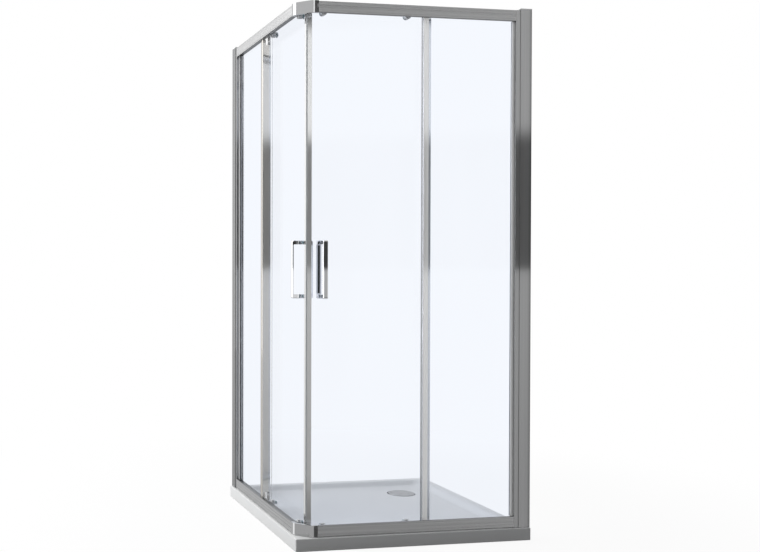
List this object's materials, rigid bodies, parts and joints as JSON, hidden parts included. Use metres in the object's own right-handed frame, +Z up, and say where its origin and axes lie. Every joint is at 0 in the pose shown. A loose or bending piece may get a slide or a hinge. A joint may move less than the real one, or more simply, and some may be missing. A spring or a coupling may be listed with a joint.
{
  "type": "shower enclosure",
  "caption": "Square corner-entry shower enclosure with sliding glass doors on rollers, fixed glass panels, silver frame and a low white tray.",
  "frame": {"origin": "middle of the tray's underside", "axes": "+Z up; the walls are at +X and +Y, the entry corner at -X -Y; the right panel of the picture faces -Y, the left one -X"},
  "size_m": [0.9, 0.9, 1.945],
  "materials": {
    "tray_white": "smooth white sanitary acrylic",
    "cover_chrome": "bright plated drain cover",
    "satin_aluminium": "satin anodised",
    "bright_aluminium": "bright anodised",
    "clear_glass": "clear toughened glass",
    "grey_plastic": "grey moulded plastic",
    "clear_seal": "translucent soft seal",
    "chrome": "mirror chrome",
    "steel": "stainless steel",
    "wheel_nylon": "white nylon",
    "dark_rubber": "matt rubber"
  },
  "bodies": {
    "frame": {"shower_tray": "tray_white", "corner_connector_top": "chrome", "corner_connector_bottom": "chrome", "sill_seals": "clear_seal", "door_stops": "dark_rubber", "frame_screws": "steel", "right_wall_profile": "satin_aluminium", "right_wall_cap": "grey_plastic", "right_adjusting_profile": "satin_aluminium", "right_glazing_gasket": "clear_seal", "right_fixed_glass": "clear_glass", "right_fixed_edge_profile": "bright_aluminium", "right_top_rail": "satin_aluminium", "right_bottom_rail": "satin_aluminium", "left_wall_profile": "satin_aluminium", "left_wall_cap": "grey_plastic", "left_adjusting_profile": "satin_aluminium", "left_glazing_gasket": "clear_seal", "left_fixed_glass": "clear_glass", "left_fixed_edge_profile": "bright_aluminium", "left_top_rail": "satin_aluminium", "left_bottom_rail": "satin_aluminium"},
    "right_door": {"right_door_glass": "clear_glass", "right_leading_profile": "bright_aluminium", "right_magnetic_seal": "clear_seal", "right_trailing_profile": "bright_aluminium", "right_handle_outer": "chrome", "right_handle_inner": "chrome", "right_handle_bolts": "steel", "right_roller_carriers": "grey_plastic", "right_roller_axles": "steel", "right_roller_caps": "chrome", "right_guide_housings": "grey_plastic", "right_release_springs": "steel"},
    "right_top_wheel_lead": {"right_top_wheel_lead": "wheel_nylon"},
    "right_button_lead": {"right_button_lead": "grey_plastic"},
    "right_guide_wheel_lead": {"right_guide_wheel_lead": "wheel_nylon"},
    "right_top_wheel_trail": {"right_top_wheel_trail": "wheel_nylon"},
    "right_button_trail": {"right_button_trail": "grey_plastic"},
    "right_guide_wheel_trail": {"right_guide_wheel_trail": "wheel_nylon"},
    "left_door": {"left_door_glass": "clear_glass", "left_leading_profile": "bright_aluminium", "left_magnetic_seal": "clear_seal", "left_trailing_profile": "bright_aluminium", "left_handle_outer": "chrome", "left_handle_inner": "chrome", "left_handle_bolts": "steel", "left_roller_carriers": "grey_plastic", "left_roller_axles": "steel", "left_roller_caps": "chrome", "left_guide_housings": "grey_plastic", "left_release_springs": "steel"},
    "left_top_wheel_lead": {"left_top_wheel_lead": "wheel_nylon"},
    "left_button_lead": {"left_button_lead": "grey_plastic"},
    "left_guide_wheel_lead": {"left_guide_wheel_lead": "wheel_nylon"},
    "left_top_wheel_trail": {"left_top_wheel_trail": "wheel_nylon"},
    "left_button_trail": {"left_button_trail": "grey_plastic"},
    "left_guide_wheel_trail": {"left_guide_wheel_trail": "wheel_nylon"},
    "drain_cover": {"drain_cover": "cover_chrome"}
  },
  "joints": [
    {"name": "right_door_slide", "type": "slide", "parent": "frame", "child": "right_door", "axis": [1, 0, 0], "range_m": [0, 0.3]},
    {"name": "right_top_wheel_lead_spin", "type": "hinge", "parent": "right_door", "child": "right_top_wheel_lead", "pos_m": [-0.335, -0.41325, 1.91935], "axis": [0, 1, 0], "continuous": true},
    {"name": "right_button_lead_press", "type": "slide", "parent": "right_door", "child": "right_button_lead", "axis": [0, 0, -1], "range_m": [0, 0.003], "stiffness_N_per_m": 1500, "springref_m": -0.002, "deforming": ["right_release_springs"]},
    {"name": "right_guide_wheel_lead_spin", "type": "hinge", "parent": "right_button_lead", "child": "right_guide_wheel_lead", "pos_m": [-0.335, -0.41325, 0.06865], "axis": [0, 1, 0], "continuous": true},
    {"name": "right_top_wheel_trail_spin", "type": "hinge", "parent": "right_door", "child": "right_top_wheel_trail", "pos_m": [-0.017, -0.41325, 1.91935], "axis": [0, 1, 0], "continuous": true},
    {"name": "right_button_trail_press", "type": "slide", "parent": "right_door", "child": "right_button_trail", "axis": [0, 0, -1], "range_m": [0, 0.003], "stiffness_N_per_m": 1500, "springref_m": -0.002, "deforming": ["right_release_springs"]},
    {"name": "right_guide_wheel_trail_spin", "type": "hinge", "parent": "right_button_trail", "child": "right_guide_wheel_trail", "pos_m": [-0.017, -0.41325, 0.06865], "axis": [0, 1, 0], "continuous": true},
    {"name": "left_door_slide", "type": "slide", "parent": "frame", "child": "left_door", "axis": [0, 1, 0], "range_m": [0, 0.3]},
    {"name": "left_top_wheel_lead_spin", "type": "hinge", "parent": "left_door", "child": "left_top_wheel_lead", "pos_m": [-0.41325, -0.335, 1.91935], "axis": [1, 0, 0], "continuous": true},
    {"name": "left_button_lead_press", "type": "slide", "parent": "left_door", "child": "left_button_lead", "axis": [0, 0, -1], "range_m": [0, 0.003], "stiffness_N_per_m": 1500, "springref_m": -0.002, "deforming": ["left_release_springs"]},
    {"name": "left_guide_wheel_lead_spin", "type": "hinge", "parent": "left_button_lead", "child": "left_guide_wheel_lead", "pos_m": [-0.41325, -0.335, 0.06865], "axis": [1, 0, 0], "continuous": true},
    {"name": "left_top_wheel_trail_spin", "type": "hinge", "parent": "left_door", "child": "left_top_wheel_trail", "pos_m": [-0.41325, -0.017, 1.91935], "axis": [1, 0, 0], "continuous": true},
    {"name": "left_button_trail_press", "type": "slide", "parent": "left_door", "child": "left_button_trail", "axis": [0, 0, -1], "range_m": [0, 0.003], "stiffness_N_per_m": 1500, "springref_m": -0.002, "deforming": ["left_release_springs"]},
    {"name": "left_guide_wheel_trail_spin", "type": "hinge", "parent": "left_button_trail", "child": "left_guide_wheel_trail", "pos_m": [-0.41325, -0.017, 0.06865], "axis": [1, 0, 0], "continuous": true},
    {"name": "drain_cover_lift", "type": "slide", "parent": "frame", "child": "drain_cover", "axis": [0, 0, 1], "range_m": [0, 0.06]}
  ],
  "couplings": [
    {"joint": "right_top_wheel_lead_spin", "follows": "right_door_slide", "rad_per_m": 133.33},
    {"joint": "right_guide_wheel_lead_spin", "follows": "right_door_slide", "rad_per_m": -200},
    {"joint": "right_top_wheel_trail_spin", "follows": "right_door_slide", "rad_per_m": 133.33},
    {"joint": "right_guide_wheel_trail_spin", "follows": "right_door_slide", "rad_per_m": -200},
    {"joint": "left_top_wheel_lead_spin", "follows": "left_door_slide", "rad_per_m": -133.33},
    {"joint": "left_guide_wheel_lead_spin", "follows": "left_door_slide", "rad_per_m": 200},
    {"joint": "left_top_wheel_trail_spin", "follows": "left_door_slide", "rad_per_m": -133.33},
    {"joint": "left_guide_wheel_trail_spin", "follows": "left_door_slide", "rad_per_m": 200}
  ]
}
